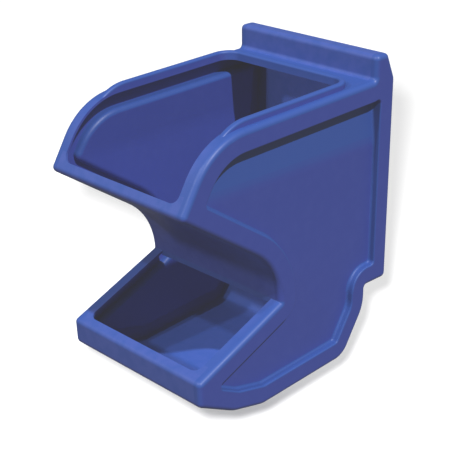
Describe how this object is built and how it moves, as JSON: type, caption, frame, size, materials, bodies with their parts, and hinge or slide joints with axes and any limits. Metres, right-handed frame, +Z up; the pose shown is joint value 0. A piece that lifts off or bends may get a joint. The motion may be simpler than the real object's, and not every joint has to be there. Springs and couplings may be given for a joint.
{
  "type": "hanging parts bin",
  "caption": "Hollow plastic bin that hangs on a rail, filled through an open hopper and emptied from a sloping tray under its concave front.",
  "frame": {"origin": "middle of the hanger strip's slot, at the height of the bridge face that rests on a rail", "axes": "+Z up, -Y out of the bin's open front, X across its width; the YZ plane is the plane of symmetry"},
  "size_m": [0.189, 0.295, 0.3219],
  "materials": {
    "side_shell_right": "satin, fine moulded grain",
    "side_shell_left": "satin, fine moulded grain",
    "back_panel": "satin, fine moulded grain",
    "hang_flange": "satin, fine moulded grain",
    "front_lip": "satin, fine moulded grain",
    "throat_wall": "satin, fine moulded grain",
    "tray_front": "satin, fine moulded grain",
    "floor_pan": "satin, fine moulded grain",
    "hanger_strip": "extruded, satin",
    "hanger_rivets": "satin"
  },
  "bodies": {
    "root": {"side_shell_right": "side_shell_right", "side_shell_left": "side_shell_left", "back_panel": "back_panel", "hang_flange": "hang_flange", "front_lip": "front_lip", "throat_wall": "throat_wall", "tray_front": "tray_front", "floor_pan": "floor_pan", "hanger_strip": "hanger_strip", "hanger_rivets": "hanger_rivets"}
  },
  "joints": []
}
